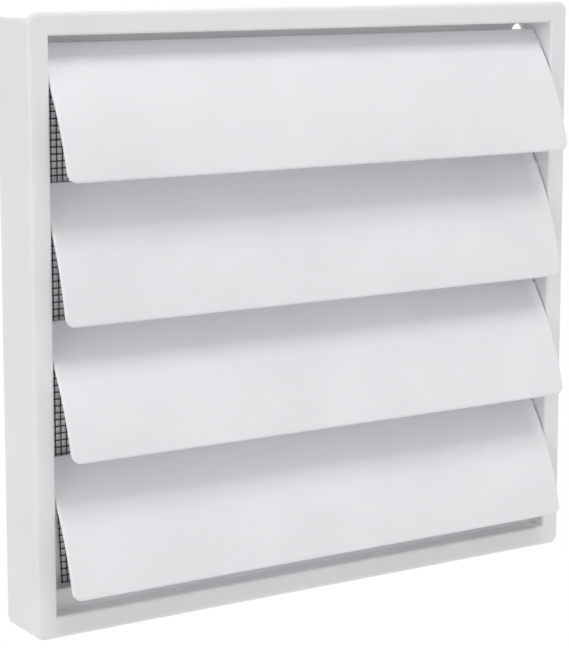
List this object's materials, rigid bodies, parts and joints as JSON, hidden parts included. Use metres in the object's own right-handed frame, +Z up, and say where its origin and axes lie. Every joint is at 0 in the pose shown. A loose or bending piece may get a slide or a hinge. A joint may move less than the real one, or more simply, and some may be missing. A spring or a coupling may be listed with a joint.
{
  "type": "exterior ventilation grille",
  "caption": "Square white wall grille with curved gravity flaps that swing on integral pins, and a black insect screen behind them.",
  "frame": {"origin": "centre of the face that lies on the wall", "axes": "+X to the right seen from outside, +Y into the wall, +Z up"},
  "size_m": [0.15, 0.023, 0.14],
  "materials": {
    "frame_plastic": "satin white moulded plastic",
    "flap_plastic": "satin white moulded plastic, slightly cooler",
    "screen": "black coated glass fibre thread"
  },
  "bodies": {
    "frame": {"frame": "frame_plastic", "insect_screen": "screen"},
    "flap_1": {"flap_1": "flap_plastic"},
    "flap_2": {"flap_2": "flap_plastic"},
    "flap_3": {"flap_3": "flap_plastic"},
    "flap_4": {"flap_4": "flap_plastic"}
  },
  "joints": [
    {"name": "flap_1_hinge", "type": "hinge", "parent": "frame", "child": "flap_1", "pos_m": [0, -0.00975, 0.0595], "axis": [-1, 0, 0], "range_deg": [-22.5, 57.5]},
    {"name": "flap_2_hinge", "type": "hinge", "parent": "frame", "child": "flap_2", "pos_m": [0, -0.00975, 0.0285], "axis": [-1, 0, 0], "range_deg": [-18, 62]},
    {"name": "flap_3_hinge", "type": "hinge", "parent": "frame", "child": "flap_3", "pos_m": [0, -0.00975, -0.0025], "axis": [-1, 0, 0], "range_deg": [-22.5, 57.5]},
    {"name": "flap_4_hinge", "type": "hinge", "parent": "frame", "child": "flap_4", "pos_m": [0, -0.00975, -0.0335], "axis": [-1, 0, 0], "range_deg": [-21.5, 58.5]}
  ]
}
